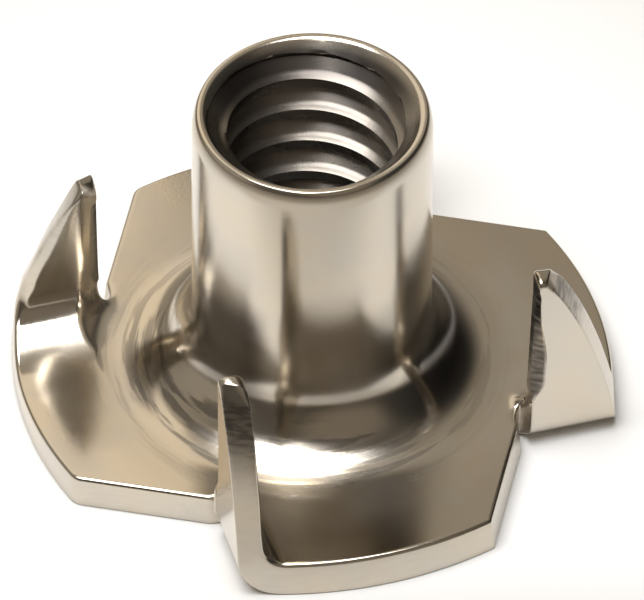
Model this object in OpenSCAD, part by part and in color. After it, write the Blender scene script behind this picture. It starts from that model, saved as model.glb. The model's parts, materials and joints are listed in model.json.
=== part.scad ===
// Four-prong tee nut, stamped and drawn from one piece of sheet steel, for a 1/4-20 UNC screw.
//
// Z points along the barrel towards its mouth. The origin is on the thread's axis, in the plane of
// the flange's underside. The prongs stand on fold lines that run parallel to X and to Y, and the
// sizes of a lobe, a fold and its notch are given for the fold that runs along +X at Y = -fold_y.

/* [Thread] */
// Major diameter of the thread
thread_d = 6.35; // [5.8:0.05:6.6]
// Pitch of the thread, 20 turns to the inch
thread_pitch = 1.27; // [0.8:0.01:1.6]
// Play of the tapped bore over the basic minor diameter
tap_play = 0.1; // [0:0.01:0.3]

/* [Barrel] */
// Outside diameter of the barrel
barrel_d = 7.18; // [7:0.02:8]
// Overall height, from the flange's underside to the rim
total_h = 11.1; // [8:0.1:16]
// How far the rim's edge is drawn in from the barrel's wall
rim_in = 0.15; // [0.05:0.01:0.2]
// Radius over which it is drawn in
rim_r = 1.5; // [0.5:0.1:3]
// Diameter of the countersunk mouth, inside the rim's narrow land
mouth_d = 6.44; // [6:0.02:6.5]
// Depth of the countersink
mouth_depth = 0.72; // [0.3:0.02:1.5]
// Radius of the draw where the barrel runs out into the flange
draw_r = 2.3; // [1:0.1:2.5]
// Thickness of the metal round the draw
draw_t = 1; // [0.7:0.05:1.1]

/* [Flange] */
// Thickness of the sheet
sheet_t = 1.12; // [0.8:0.02:1.2]
// Distance from the axis to a lobe's corner at its cut edge
corner_r = 8.87; // [8.4:0.01:9.6]
// Distance from the axis to a lobe's edge where its fold line meets it
heel_r = 9.2; // [8.6:0.01:9.8]
// Radius of the arc that joins the two
lobe_r = 11.4; // [9.8:0.1:16]
// Distance of a prong's outer face from the axis
fold_y = 4.55; // [4.2:0.05:5]
// Place of the notch's root along the fold line
root_x = 5.14; // [4.8:0.02:5.6]
// Angle of a notch, from the fold line to the straight cut edge
notch_angle = 117.4; // [100:0.2:125]
// Radius to which the punch rolls the flange's upper edges over
roll_r = 0.12; // [0.05:0.01:0.3]
// How far the sheared lower edges stand out past the upper ones
shear = 0.1; // [0:0.01:0.15]

/* [Prongs] */
// Height of the prong tips above the flange's underside
prong_h = 6.45; // [4:0.05:8]
// Thickness of a prong, ironed thinner than the sheet
prong_t = 0.78; // [0.5:0.02:1]
// Radius inside the fold
fold_in_r = 0.6; // [0.3:0.05:0.8]
// Radius outside the fold
fold_out_r = 1.2; // [0.9:0.05:1.5]
// Gap between the notch's root and the prong's straight inner edge
prong_gap = 0.57; // [0.3:0.01:0.9]
// Width of the blunt tip on the outer face
tip_w = 0.15; // [0.1:0.01:0.6]
// Fall of the blunt tip towards the outer edge
tip_drop = 0.1; // [0:0.02:0.4]
// Reach of the curved outer edge over the notch's root, where it leaves the flange
edge_x = 2.9; // [2.6:0.05:3.4]
// Radius of the curved outer edge
edge_r = 15; // [8:0.5:60]
// Slant of the outer edge, which leaves the prong's inner face wider than the outer one
edge_slant = 24; // [0:1:40]
// Which prong leans
bent_prong = 2; // [0:1:3]
// How far that prong leans over its own lobe
bent_lean = 5; // [0:0.5:8]

/* [Hidden] */
$fn = 96;
LOBES = 4;
STEEL = "#bdb3a4";
MINOR_DEPTH = 1.0825;   // of the pitch, from the major to the basic minor diameter
LAP = 0.3;              // overlap of the lobes with the hub
CLEAR = 0.1;            // by which a cutting shape stands clear of what it cuts
FAR = 30;               // past every edge of the nut

barrel_r = barrel_d / 2;
bore_r = (thread_d - MINOR_DEPTH * thread_pitch + tap_play) / 2;
under_r = draw_r + draw_t;
hub_r = max(barrel_r + draw_r, bore_r + under_r) + LAP;
rim_drop = sqrt(rim_r * rim_r - pow(rim_r - rim_in, 2));
root = [root_x, -fold_y];
cut_way = [cos(notch_angle), -sin(notch_angle)];
corner = root + cut_way * run_out(root, cut_way, corner_r);
heel = [-fold_y, -sqrt(heel_r * heel_r - fold_y * fold_y)];
fold_inner = [prong_t + fold_in_r, sheet_t + fold_in_r];
fold_outer = [fold_out_r, fold_out_r];

// Centre of a circle through two points, on the left of the way from the first to the second.
function arc_centre(from, to, r) =
    let (half = (to - from) / 2, left = [-half.y, half.x] / norm(half))
    from + half + left * sqrt(r * r - half * half);

// Length of a way from a point out to a circle round the origin.
function run_out(point, way, r) =
    -point * way + sqrt(pow(point * way, 2) - point * point + r * r);

// Half section of the barrel and the hub of the flange round it.
module barrel_section() {
    difference() {
        union() {
            square([hub_r, sheet_t]);
            square([barrel_r, total_h - rim_drop]);
            intersection() {
                translate([0, total_h - rim_drop]) square([barrel_r, rim_drop]);
                translate([barrel_r - rim_r, total_h - rim_drop]) circle(rim_r, $fn = 96);
            }
            difference() {
                square([barrel_r + draw_r, sheet_t + draw_r]);
                translate([barrel_r + draw_r, sheet_t + draw_r]) circle(draw_r, $fn = 48);
            }
        }
        translate([-CLEAR, -CLEAR]) square([bore_r + CLEAR, FAR]);
        polygon([
            [0, total_h - mouth_depth],
            [bore_r, total_h - mouth_depth],
            [mouth_d / 2, total_h],
            [mouth_d / 2, total_h + CLEAR],
            [0, total_h + CLEAR],
        ]);
        difference() {
            translate([0, -CLEAR]) square([bore_r + under_r, under_r + CLEAR]);
            translate([bore_r + under_r, under_r]) circle(under_r, $fn = 48);
        }
    }
}

// Section of the sheet out to a sheared edge.
module sheet_section(reach) {
    polygon([
        [0, 0],
        [reach + shear, 0],
        [reach, sheet_t - roll_r],
        [reach - roll_r, sheet_t],
        [0, sheet_t],
    ]);
    translate([reach - roll_r, sheet_t - roll_r]) circle(roll_r, $fn = 16);
}

// Moves a shape from the axis to the centre of the arc that a lobe's outer edge follows.
module at_lobe_centre() {
    translate(arc_centre(heel, corner, lobe_r)) children();
}

// Lobe that ends at the +X fold's notch.
module lobe() {
    own_root = [-fold_y, -root_x];
    intersection() {
        at_lobe_centre() rotate_extrude($fn = 180) sheet_section(lobe_r);
        translate(root) rotate([90, 0, 90 - notch_angle]) translate([-FAR, 0, -FAR])
            linear_extrude(2 * FAR) sheet_section(FAR);
        linear_extrude(sheet_t) polygon([[0, 0], own_root, own_root - [0, FAR], [FAR, -FAR], root]);
    }
}

module round_fold(i) {
    rotate(i * 360 / LOBES) children();
}

// Cuts the flange's lower edge round, along the fold line.
module fold_corner() {
    translate(root) rotate([90, 0, 90]) linear_extrude(FAR) difference() {
        translate([-CLEAR, -CLEAR]) square(fold_out_r + CLEAR);
        translate(fold_outer) circle(fold_out_r);
    }
}

module flange() {
    difference() {
        for (i = [0 : LOBES - 1]) round_fold(i) lobe();
        translate([0, 0, -CLEAR]) cylinder(FAR, r = hub_r - LAP);
        for (i = [0 : LOBES - 1]) round_fold(i) fold_corner();
    }
}

// Section across a fold. The sheet runs off along +X, the prong stands up at X = 0 and leans over it.
module fold_section(lean) {
    out = [-cos(lean), sin(lean)];
    up = [sin(lean), cos(lean)];
    outer_foot = fold_outer + fold_out_r * out;
    inner_foot = fold_inner + fold_in_r * out;
    difference() {
        union() {
            translate(fold_outer) circle(fold_out_r);
            polygon([outer_foot, outer_foot + FAR * up, inner_foot + FAR * up, inner_foot, fold_outer]);
        }
        translate(fold_inner) circle(fold_in_r);
        polygon([inner_foot, inner_foot + FAR * up, [FAR, FAR], [FAR, sheet_t], [fold_inner.x, sheet_t],
            fold_inner]);
    }
}

// Side view of a prong but for its outer edge: X runs along the fold line, Y is height.
module prong_outline() {
    polygon([
        [0, 0],
        [FAR, 0],
        [FAR, prong_h - tip_drop],
        [prong_gap + tip_w, prong_h - tip_drop],
        [prong_gap, prong_h],
        [prong_gap, sheet_t],
        [0, sheet_t],
    ]);
}

// Section square to a prong's slanted outer edge, from the flange up.
module prong_edge_section() {
    foot = [edge_x * cos(edge_slant), sheet_t];
    tip = [(prong_gap + tip_w) * cos(edge_slant), prong_h - tip_drop];
    translate([0, -CLEAR]) square([FAR, sheet_t + CLEAR]);
    translate(arc_centre(foot, tip, edge_r)) circle(edge_r, $fn = 360);
}

// Prong on the +X fold, with its share of the flange's edge.
module prong(lean) {
    intersection() {
        translate(root) rotate([90, 0, 90]) linear_extrude(FAR) fold_section(lean);
        translate(root) rotate([90, 0, 0]) linear_extrude(2 * FAR, center = true) prong_outline();
        translate(root) rotate([90, 0, -edge_slant])
            linear_extrude(2 * FAR, center = true) prong_edge_section();
        rotate(360 / LOBES) at_lobe_centre() cylinder(FAR, r = lobe_r + shear, $fn = 180);
    }
}

module tee_nut() {
    color(STEEL) {
        rotate_extrude() barrel_section();
        flange();
        for (i = [0 : LOBES - 1]) round_fold(i) prong(i == bent_prong ? bent_lean : 0);
    }
}

tee_nut();
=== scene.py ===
# %% [markdown]
# # A plated steel tee nut
#
# This lesson dresses one stamped part. The real nut starts as a flat steel blank shaped like a
# pinwheel. A punch draws the barrel up out of its middle, the four prongs are folded up, the barrel is
# tapped, and the whole part is zinc plated. The script goes the same way: blank, fold, draw, tap, plate.
# It is measured in millimetres and turned to metres as the last step, because sheet metal is drawn so.

# %% Load the fixed frame
import json
import math

import bmesh
import bpy
import numpy as np
from mathutils import Matrix, Vector, geometry


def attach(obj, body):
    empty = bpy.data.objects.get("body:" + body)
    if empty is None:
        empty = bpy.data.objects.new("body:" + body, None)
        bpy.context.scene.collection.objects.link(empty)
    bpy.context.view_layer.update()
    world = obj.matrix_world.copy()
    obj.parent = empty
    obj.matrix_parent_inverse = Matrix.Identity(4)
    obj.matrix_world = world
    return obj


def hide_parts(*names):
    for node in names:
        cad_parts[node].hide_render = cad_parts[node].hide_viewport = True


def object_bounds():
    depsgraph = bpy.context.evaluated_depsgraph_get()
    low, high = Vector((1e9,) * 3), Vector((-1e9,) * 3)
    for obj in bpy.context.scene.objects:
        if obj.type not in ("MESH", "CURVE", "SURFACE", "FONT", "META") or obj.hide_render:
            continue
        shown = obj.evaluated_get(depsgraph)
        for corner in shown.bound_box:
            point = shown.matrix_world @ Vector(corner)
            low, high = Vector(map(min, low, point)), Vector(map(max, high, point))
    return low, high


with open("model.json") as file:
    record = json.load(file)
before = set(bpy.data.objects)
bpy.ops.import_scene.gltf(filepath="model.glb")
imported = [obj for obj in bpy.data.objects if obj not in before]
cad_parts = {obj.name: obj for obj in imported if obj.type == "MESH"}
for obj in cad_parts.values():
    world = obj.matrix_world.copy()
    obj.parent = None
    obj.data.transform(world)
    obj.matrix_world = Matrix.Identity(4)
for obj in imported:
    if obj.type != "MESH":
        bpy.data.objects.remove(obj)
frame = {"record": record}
cad_low, cad_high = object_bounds()
MM = 0.001
mounts = {mount["name"]: mount["dims"] for mount in frame["record"]["mounts"]}
total_h = cad_high.z / MM
barrel_r = mounts["barrel"]["r_mm"]
bore_r = mounts["thread"]["r_mm"]
print("height", total_h, "barrel radius", barrel_r, "bore radius", bore_r)

# %% [markdown]
# ## The camera
#
# A long lens, far from the part, keeps its four-fold shape free of perspective, as catalogue pictures do.
# The camera is placed by the way it looks, by the millimetres that its frame is wide, and by the point of
# the part's axis that it looks at, so every number can be checked with a ruler.

# %% Place the camera
VIEW_AZIMUTH = -16.0646
VIEW_ELEVATION = 44.3462
VIEW_ROLL = 0.249
LENS = 1200.0
FRAME_WIDTH = 19.235
AIM_RIGHT, AIM_HEIGHT = 0.3049, 3.3391

azimuth, elevation = math.radians(VIEW_AZIMUTH), math.radians(VIEW_ELEVATION)
back = Vector((
    math.sin(azimuth) * math.cos(elevation),
    -math.cos(azimuth) * math.cos(elevation),
    math.sin(elevation),
))
right = Vector((math.cos(azimuth), math.sin(azimuth), 0))
aim = (Vector((0, 0, AIM_HEIGHT)) + right * AIM_RIGHT) * MM

camera_data = bpy.data.cameras.new("camera")
camera_data.lens = LENS
distance = LENS / camera_data.sensor_width * FRAME_WIDTH * MM
camera_data.clip_start, camera_data.clip_end = 0.01, 10
camera = bpy.data.objects.new("camera", camera_data)
bpy.context.scene.collection.objects.link(camera)
turn = Matrix((right, back.cross(right), back)).transposed().to_4x4()
roll = Matrix.Rotation(math.radians(VIEW_ROLL), 4, "Z")
camera.matrix_world = Matrix.Translation(aim + back * distance) @ turn @ roll
bpy.context.scene.camera = camera
print("camera", round(distance, 3), "m from the part")

# %% [markdown]
# ## The blank's sizes
#
# The blank has four like lobes, and each ends in a notch from which the next lobe's prong is folded up.
# Sizes are given for the lobe on the right and the prong at its start, whose fold line runs along +X.
# "Along" is the distance from the notch's root along that line, and "in" is the distance from the prong's
# outer face towards its own lobe.

# %% Sizes in millimetres
LOBES = 4
SHEET = 1.12
FOLD_Y, ROOT_X = -4.55, 5.14
NOTCH_ANGLE = math.radians(117.4)
NOTCH = np.array([0.17, 0.62])
CORNER_R, HEEL_R, LOBE_R = 8.87, 9.2, 11.4
FOLD_INSIDE, FOLD_OUTSIDE = 0.6, 1.2
PRONG_H, PRONG_THICK, PRONG_FOOT = 6.45, 0.78, 1.95
EDGE_SLANT, EDGE_FOOT, EDGE_R = math.radians(24), 2.9, 15.0
GAP_FOOT, GAP_TIP = 0.38, 0.58
TIP_WIDTH, TIP_ROUND = 0.3, 0.13
ROLL = 0.13
DRAW_R, DRAW_METAL = 2.3, 1.0
HUB_R = 6.05  # where the flat flange meets the drawn barrel
RING = 192  # steps round the axis
print("prong", PRONG_H, "mm high on a sheet of", SHEET, "mm")

# %% [markdown]
# ## Folding sheet metal
#
# A fold keeps the sheet's two faces on two arcs about their own centres, because the punch sets the inner
# radius and the die the outer one. The blank is drawn flat for each face, with the length along the bend
# already worked out, and one function then folds any flat point. Near the notch the fold runs out, since
# the metal there is held by the flange beside it, so the bend angle grows over the first half millimetre.

# %% The fold
FOLD_RUNS_OUT = (0.05, 0.42)
LEAST_ANGLE = 1e-4


def ease(value, start, end):
    """Goes smoothly from 0 at start to 1 at end."""
    share = np.clip((np.asarray(value, float) - start) / (end - start), 0, 1)
    return share * share * (3 - 2 * share)


def window(value, rise, fall):
    """Is 1 between a smooth rise over the first pair of values and a smooth fall over the second."""
    return ease(value, *rise) * ease(-value, -fall[1], -fall[0])


class Face:
    """One side of the sheet: the height it lies at, where its bend starts, and the bend's radius."""

    def __init__(self, height, prong_in, radius):
        self.height, self.prong_in, self.radius = height, prong_in, radius
        self.start = prong_in + radius
        self.length = radius * math.pi / 2

    def flat_in(self, z):
        """The flat place, measured inwards from the fold line, of a height on the upright prong."""
        return self.start - self.length - (z - self.height - self.radius)

    def fold(self, along, inward, full_angle, squeeze):
        """Bends flat points by an angle, with the bend squeezed tighter. Returns inward and height."""
        travel = np.maximum(self.start - inward, 0)
        angle = np.maximum(full_angle * ease(along, *FOLD_RUNS_OUT), LEAST_ANGLE)
        bent = np.minimum(travel / self.length, 1) * angle
        radius = self.length * (1 - squeeze) / angle
        beyond = np.maximum(travel - self.length, 0)
        folded_in = self.start - radius * np.sin(bent) - beyond * np.cos(bent)
        height = self.height + radius * (1 - np.cos(bent)) + beyond * np.sin(bent)
        flat = travel <= 0
        return np.where(flat, inward, folded_in), np.where(flat, self.height, height)


plain_fold = Face(SHEET, PRONG_THICK, FOLD_INSIDE)
print("the inner bend takes", round(plain_fold.length, 2), "mm of the blank")

# %% [markdown]
# ## A lobe that curls up
#
# On one lobe the die pulled the flange up on its way to the fold, so the sheet sweeps into its prong. A
# bend of changing radius has no formula of its own. The sheet's middle is therefore walked in short steps
# whose slope grows smoothly, and each point of the two faces keeps its distance from that middle. The curl
# starts clear of the barrel's draw, and takes its share from the fold, which turns by that much less. On
# the outer face the fold is squeezed as well, so that the sheet keeps its thickness there.

# %% The curl
CURL_START, CURL_END, CURL_CLEAR_R, LEAST_CURL = 4.2, 1.4, 6.25, 0.1
CURL_RUNS_OUT = (0.35, 1.25)
CURL_STEPS, CURL_GROWS = 40, 1.3
SQUEEZE = 0.61


def curl(along, inward, height, angle):
    """Raises the sheet on its way to the fold, and turns the prong with it."""
    clear = -FOLD_Y - np.sqrt(np.maximum(CURL_CLEAR_R**2 - (ROOT_X + along) ** 2, 0))
    start = np.clip(clear, CURL_END + LEAST_CURL, CURL_START)
    length = start - CURL_END
    share = np.linspace(0, 1, CURL_STEPS + 1)[None]
    heading = (ease(along, *CURL_RUNS_OUT) * angle)[:, None] * ease(share, 0, 1) ** CURL_GROWS
    step = (length / CURL_STEPS)[:, None]
    over = (np.cumsum(np.cos(heading), 1) - np.cos(heading[:, :1])) * step
    up = np.cumsum(np.sin(heading), 1) * step
    travel = start - inward
    place = np.clip(travel / step[:, 0], 0, CURL_STEPS)
    low = np.minimum(place.astype(int), CURL_STEPS - 1)
    part = place - low
    pick = np.arange(len(low))
    over, up, turned = (t[pick, low] * (1 - part) + t[pick, low + 1] * part for t in (over, up, heading))
    beyond = np.maximum(travel - length, 0)
    lift = height - SHEET / 2
    new_in = start - over - beyond * np.cos(turned) + lift * np.sin(turned)
    new_height = SHEET / 2 + up + beyond * np.sin(turned) + lift * np.cos(turned)
    held = travel <= 0
    return np.where(held, inward, new_in), np.where(held, height, new_height)


print("the curl takes up to", round(CURL_START - CURL_END, 2), "mm")

# %% [markdown]
# ## The blank's outline
#
# The outline is drawn once for the upper face and once for the lower, point for point, because shearing
# leaves the lower edge a little proud and the prong's outer edge slants. It runs from the notch's root up
# the prong's straight edge, over the tip, down the curved edge, round the lobe to its corner, and back
# along the straight cut edge to the next notch. A few helpers draw its arcs and smooth bends.

# %% Arcs and turns
def circle_centre(first, second, radius):
    """Centre of a circle through two points, on the left of the way from the first to the second."""
    half = (second - first) / 2
    left = np.array([-half[1], half[0]]) / np.linalg.norm(half)
    return first + half + left * math.sqrt(radius**2 - half @ half)


def arc(first, last, radius, count):
    """Points of an arc with its centre on the left."""
    centre = circle_centre(first, last, radius)
    start, end = (math.atan2(*(point - centre)[::-1]) for point in (first, last))
    sweep = (end - start) % math.tau
    angles = start + sweep * np.linspace(0, 1, count)
    return centre + radius * np.column_stack([np.cos(angles), np.sin(angles)])


def spin(points, quarter_turns):
    """Turns flat points round the axis."""
    angle = quarter_turns * math.pi / 2
    c, s = math.cos(angle), math.sin(angle)
    return np.asarray(points) @ np.array([[c, s], [-s, c]])


root = np.array([ROOT_X, FOLD_Y])
notch_bottom = root + NOTCH
cut_way = np.array([math.cos(NOTCH_ANGLE), -math.sin(NOTCH_ANGLE)])
cut_back = -spin(cut_way, 1)
reach = -(root @ cut_way) + math.sqrt((root @ cut_way) ** 2 - root @ root + CORNER_R**2)
next_root = spin(root, 1)
corner = spin(root + cut_way * reach, 1)
heel = np.array([math.sqrt(HEEL_R**2 - FOLD_Y**2), FOLD_Y])
lobe_centre = circle_centre(heel, corner, LOBE_R)
print("corner", corner.round(2), "heel", heel.round(2))

# %% Bends and corners
def join(first, way_out, last, way_in, count):
    """A smooth bend from one point to another that leaves and arrives along the given ways."""
    t = np.linspace(0, 1, count, endpoint=False)[:, None]
    return (
        (2 * t**3 - 3 * t**2 + 1) * first
        + (t**3 - 2 * t**2 + t) * way_out
        + (3 * t**2 - 2 * t**3) * last
        + (t**3 - t**2) * way_in
    )


def lobe_corner(out):
    """Corner of the lobe whose edges stand out by that much."""
    way = spin(cut_way, 1)
    start = next_root + out * np.array([-way[1], way[0]])
    to_centre = start - lobe_centre
    along = -(to_centre @ way)
    return start + way * (along + math.sqrt(along**2 - to_centre @ to_centre + (LOBE_R + out) ** 2))


def blunt(corner_point, way_back, way_on, radius, count):
    """Arc of that radius that rounds a corner. The two ways point away from the corner."""
    half = math.acos(np.clip(way_back @ way_on, -1, 1)) / 2
    middle = (way_back + way_on) / np.linalg.norm(way_back + way_on)
    centre = corner_point + middle * radius / math.sin(half)
    first = corner_point + way_back * radius / math.tan(half) - centre
    last = corner_point + way_on * radius / math.tan(half) - centre
    sweep = np.linspace(0, 1, count)[:, None]
    angle = math.acos(np.clip(first @ last / radius**2, -1, 1))
    return centre + (np.sin((1 - sweep) * angle) * first + np.sin(sweep * angle) * last) / math.sin(angle)


print("sharp corner", lobe_corner(0.0).round(2))

# %% [markdown]
# ## The prong's edges
#
# A prong has to cut into wood, so its outer edge curves in to a narrow tip, and it slants across the
# sheet's thickness. On the upright prong that edge is part of a large cylinder seen at a slant, which one
# formula gives for either face. The inner edge is the straight cut that leads down into the notch.

# %% Outline of the prong
NOTCH_POINTS, INNER_POINTS, OUTER_POINTS = 18, 50, 58
TIP_POINTS = (8, 7)
INNER_COUNT = NOTCH_POINTS + INNER_POINTS - 1
OUTER_FIRST = INNER_COUNT + sum(TIP_POINTS)
NOTCH_LEAVES, NOTCH_ARRIVES = np.array([0.5, 0.02]), np.array([0.0, -1.6])
TIP_SLOPE, BELOW_TIP = 0.1, 0.15

edge_foot = np.array([EDGE_FOOT * math.cos(EDGE_SLANT), SHEET])
edge_tip = np.array([(GAP_TIP + TIP_WIDTH) * math.cos(EDGE_SLANT), PRONG_H - TIP_SLOPE])
edge_centre = circle_centre(edge_foot, edge_tip, EDGE_R)


def prong_edge(z, inward):
    """How far along the fold the prong's curved outer edge lies at a height, on that side of the prong."""
    section = edge_centre[0] + np.sqrt(EDGE_R**2 - (z - edge_centre[1]) ** 2)
    return section / math.cos(EDGE_SLANT) + inward * math.tan(EDGE_SLANT)


def way_from(start, end):
    """Direction of length 1 from one point to another."""
    return (end - start) / np.linalg.norm(end - start)


def prong_outline(face, lobe):
    """Flat outline of the prong: up its straight edge, over the tip, and down its curved edge."""

    def flat(along, z):
        return np.column_stack([ROOT_X + along, FOLD_Y + face.flat_in(z)])

    def curved(z, narrower_at):
        return flat(prong_edge(z, face.prong_in) - lobe.narrower(face, narrower_at), z)

    top = lobe.top(face)
    lower_top = top - lobe.tip_drop[face is lobe.lower]
    first_corner, last_corner = flat(GAP_TIP, top)[0], curved(lower_top, top)[0]
    inner_foot = flat(GAP_FOOT, PRONG_FOOT)[0]
    over_tip = way_from(first_corner, last_corner)
    lower_down = lower_top - TIP_SLOPE
    down = way_from(last_corner, curved(lower_down, lower_down)[0])
    tip_round = min(TIP_ROUND, lobe.tip_round[face is lobe.lower])
    first_round = blunt(first_corner, way_from(first_corner, inner_foot), over_tip, tip_round, TIP_POINTS[0])
    last_round = blunt(last_corner, -over_tip, down, TIP_ROUND, TIP_POINTS[1])
    inner_edge = np.linspace(inner_foot, first_round[0], INNER_POINTS)
    fall = np.linspace(lower_top - BELOW_TIP, PRONG_FOOT, OUTER_POINTS)
    notch = join(notch_bottom, NOTCH_LEAVES, inner_edge[0], NOTCH_ARRIVES, NOTCH_POINTS)
    return np.vstack([notch, inner_edge[:-1], first_round, last_round, curved(fall, fall)])


print("points up the straight edge", INNER_COUNT)

# %% [markdown]
# ## The lobe
#
# The lobe's free edge is an arc of its own radius, larger than the flange's, so the corners stand out a
# little as on a pinwheel. The arc leaves the prong's curved edge in a smooth bend, because the blank has
# no corner there, and meets the straight cut at a corner that each strike of the die left a bit blunter.

# %% Outline of the lobe
HEEL_POINTS, LOBE_POINTS, CORNER_POINTS, CUT_POINTS, ROOT_POINTS = 24, 84, 9, 38, 10
CUT_STOPS = 0.1
ROOT_LEAVES, ROOT_ARRIVES = 0.4, np.array([0.45, 0.02])


def outline(face, lobe):
    """Flat outline of one lobe and its prong on one face of the sheet, from notch to notch."""
    prong = prong_outline(face, lobe)
    out = lobe.out(face)
    lobe_r = LOBE_R + out
    start_y = FOLD_Y + face.start
    lobe_start = np.array([lobe_centre[0] + math.sqrt(lobe_r**2 - (start_y - lobe_centre[1]) ** 2), start_y])
    start_way = lobe_start - lobe_centre
    start_way = np.array([-start_way[1], start_way[0]]) / lobe_r
    leave = way_from(prong[-2], prong[-1])
    span = np.linalg.norm(lobe_start - prong[-1])
    heel_bend = join(prong[-1], leave * span, lobe_start, start_way * span, HEEL_POINTS)

    end = lobe_corner(out)
    end_way = end - lobe_centre
    end_way = np.array([end_way[1], -end_way[0]]) / lobe_r
    turned = blunt(end, end_way, cut_back, lobe.corner_round, CORNER_POINTS)
    lobe_arc = arc(lobe_start, turned[0], lobe_r, LOBE_POINTS)[:-1]
    outward = np.array([cut_back[1], -cut_back[0]])
    cut_end = next_root + out * outward - cut_back * CUT_STOPS
    cut = np.linspace(turned[-1], cut_end, CUT_POINTS)[:-1]
    root_way, last = cut_back * ROOT_LEAVES, spin(notch_bottom, 1)
    root_bend = join(cut_end, root_way, last, spin(ROOT_ARRIVES, 1), ROOT_POINTS)
    return np.vstack([prong[:-1], heel_bend, lobe_arc, turned[:-1], cut, root_bend])


print("the lobe's arc is centred at", lobe_centre.round(2))

# %% [markdown]
# ## Four lobes, not quite alike
#
# A worn die and a quick press leave small differences: a blunt corner, a prong that leans, a lobe that
# curls, an edge rolled over. One class holds a plain lobe's values, and each lobe then says only what is
# its own. A pair of values is for the upper and the lower face.

# %% What differs from lobe to lobe
UNDER_SLIMS, UNDER_ENDS, TIP_WIDENS = (2, 3), 4.5, 2.5
GROUND_NARROWS = (3.2, PRONG_H - 0.5)


class Lobe:
    """What the press left different on one lobe and its prong, over the values of a plain one."""

    corner_round, shear = 0.14, 0.09  # the corner's radius, and how far the lower edge stands out
    taller, tip_wider = (0.35, 0.35), (0.17, 0.17)
    tip_drop = (TIP_SLOPE, TIP_SLOPE)  # how much lower the tip is on its curved side
    tip_round = (TIP_ROUND, TIP_ROUND)
    slim_under = 0.0  # how much the lower face's curved edge is cut back
    ground_foot, ground_tip = 0.3, 0.15  # the bevel's width along the straight edge
    rolled, tip_torn = 0.1, 0.5  # how broadly the curved edge is rolled, and how torn it is high up

    def __init__(self, place, lean=0.0, curl=0.0, fold_outside=FOLD_OUTSIDE, **own):
        self.place, self.lean, self.curl = place, math.radians(lean), math.radians(curl)
        self.upper = Face(SHEET, PRONG_THICK, FOLD_INSIDE)
        self.lower = Face(0.0, 0.0, fold_outside)
        for name, value in own.items():
            setattr(self, name, value)

    def out(self, face):
        """How far the edge of that face stands out."""
        return self.shear if face is self.lower else 0.0

    def top(self, face):
        """Height of the prong's tip on that face, as if its foot weren't raised."""
        return PRONG_H + self.taller[face is self.lower]

    def narrower(self, face, z):
        """How much narrower the prong is at a height, on its curved side."""
        below = face is self.lower
        under = self.slim_under * below * window(z, UNDER_SLIMS, (UNDER_ENDS, self.top(face)))
        return under - self.tip_wider[below] * ease(z, TIP_WIDENS, self.top(face))

    def ground(self, z):
        """How wide the bevel is along the prong's inner edge at a height."""
        return self.ground_foot + (self.ground_tip - self.ground_foot) * ease(z, *GROUND_NARROWS)

    def shape(self, face, flat_points):
        """Folds and curls flat points of this lobe."""
        along, inward = flat_points[:, 0] - ROOT_X, flat_points[:, 1] - FOLD_Y
        curled = ease(along, *CURL_RUNS_OUT)
        full_angle = math.pi / 2 + self.lean - self.curl * curled
        squeeze = self.curl * SQUEEZE * curled if face is self.lower else 0.0
        inward, height = face.fold(along, inward, full_angle, squeeze)
        inward, height = curl(along, inward, height, self.curl)
        return np.column_stack([ROOT_X + along, FOLD_Y + inward, height])


RIGHT, REAR, LEFT, FRONT = range(LOBES)
lobes = [
    Lobe(RIGHT, fold_outside=0.95, ground_foot=0.42, ground_tip=0.1),
    Lobe(REAR, corner_round=0.5, taller=(0, 0), tip_wider=(0, 0)),
    Lobe(
        LEFT, corner_round=0.55, shear=-0.04, lean=5, curl=26, taller=(-0.22, 0.05), tip_wider=(-0.25, 0.0),
        tip_drop=(0.12, 0.42), tip_round=(0.13, 0.06), slim_under=0.1, ground_foot=0.36, ground_tip=0.26,
        rolled=0.75, tip_torn=0.12,
    ),
    Lobe(FRONT, shear=0.1, rolled=0.18),
]
for lobe in lobes:
    print("lobe", lobe.place, len(outline(lobe.upper, lobe)), "points round it")

# %% [markdown]
# ## Skins over the blank
#
# Each face of the sheet is a net of small triangles inside its outline. A net of even size shows no
# streaks when the metal mirrors the room, and it is made finer in rows along the fold, where it bends, and
# finest round the notches' roots, where the fold runs out. A constrained Delaunay triangulation keeps the
# outline exact and fills the rest. A first ring of points runs just inside the outline, so that no long
# thin triangles lie along the edge.

# %% Nets of points
GRAIN, BEND_GRAIN, FINE_GRAIN = 0.15, 0.075, 0.05
ROW_STEP = 0.87
SPOT_R, STRIP_MARGIN, EDGE_MARGIN = 0.5, 0.04, 0.03
LEAST_GAP, LEAST_MARGIN_GAP, SAME_PLACE = 0.5, 0.8, 1e-6


def inside(points, ring):
    """True for each point that lies inside a closed ring."""
    x, y = points[:, :1], points[:, 1:]
    x0, y0 = ring[:, 0], ring[:, 1]
    x1, y1 = np.roll(x0, -1), np.roll(y0, -1)
    crossing = (y0 > y) != (y1 > y)
    with np.errstate(divide="ignore", invalid="ignore"):
        at = x0 + (y - y0) / (y1 - y0) * (x1 - x0)
    return (crossing & (x < at)).sum(1) % 2 == 1


def clearance(points, ring):
    """Distance from each point to the nearest point of a ring."""
    return np.sqrt(((points[:, None] - ring[None]) ** 2).sum(2)).min(1)


def staggered(columns, rows, grain):
    """Points in rows, with every second row set off by half a step."""
    return np.array([[x + grain / 2 * (row % 2), y] for row, y in enumerate(rows) for x in columns])


steps = np.arange(-SPOT_R, SPOT_R, FINE_GRAIN)
fine_patch = staggered(steps, steps, FINE_GRAIN)
fine_patch = fine_patch[np.linalg.norm(fine_patch, axis=1) < SPOT_R]
print("a fine patch has", len(fine_patch), "points")

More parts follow.
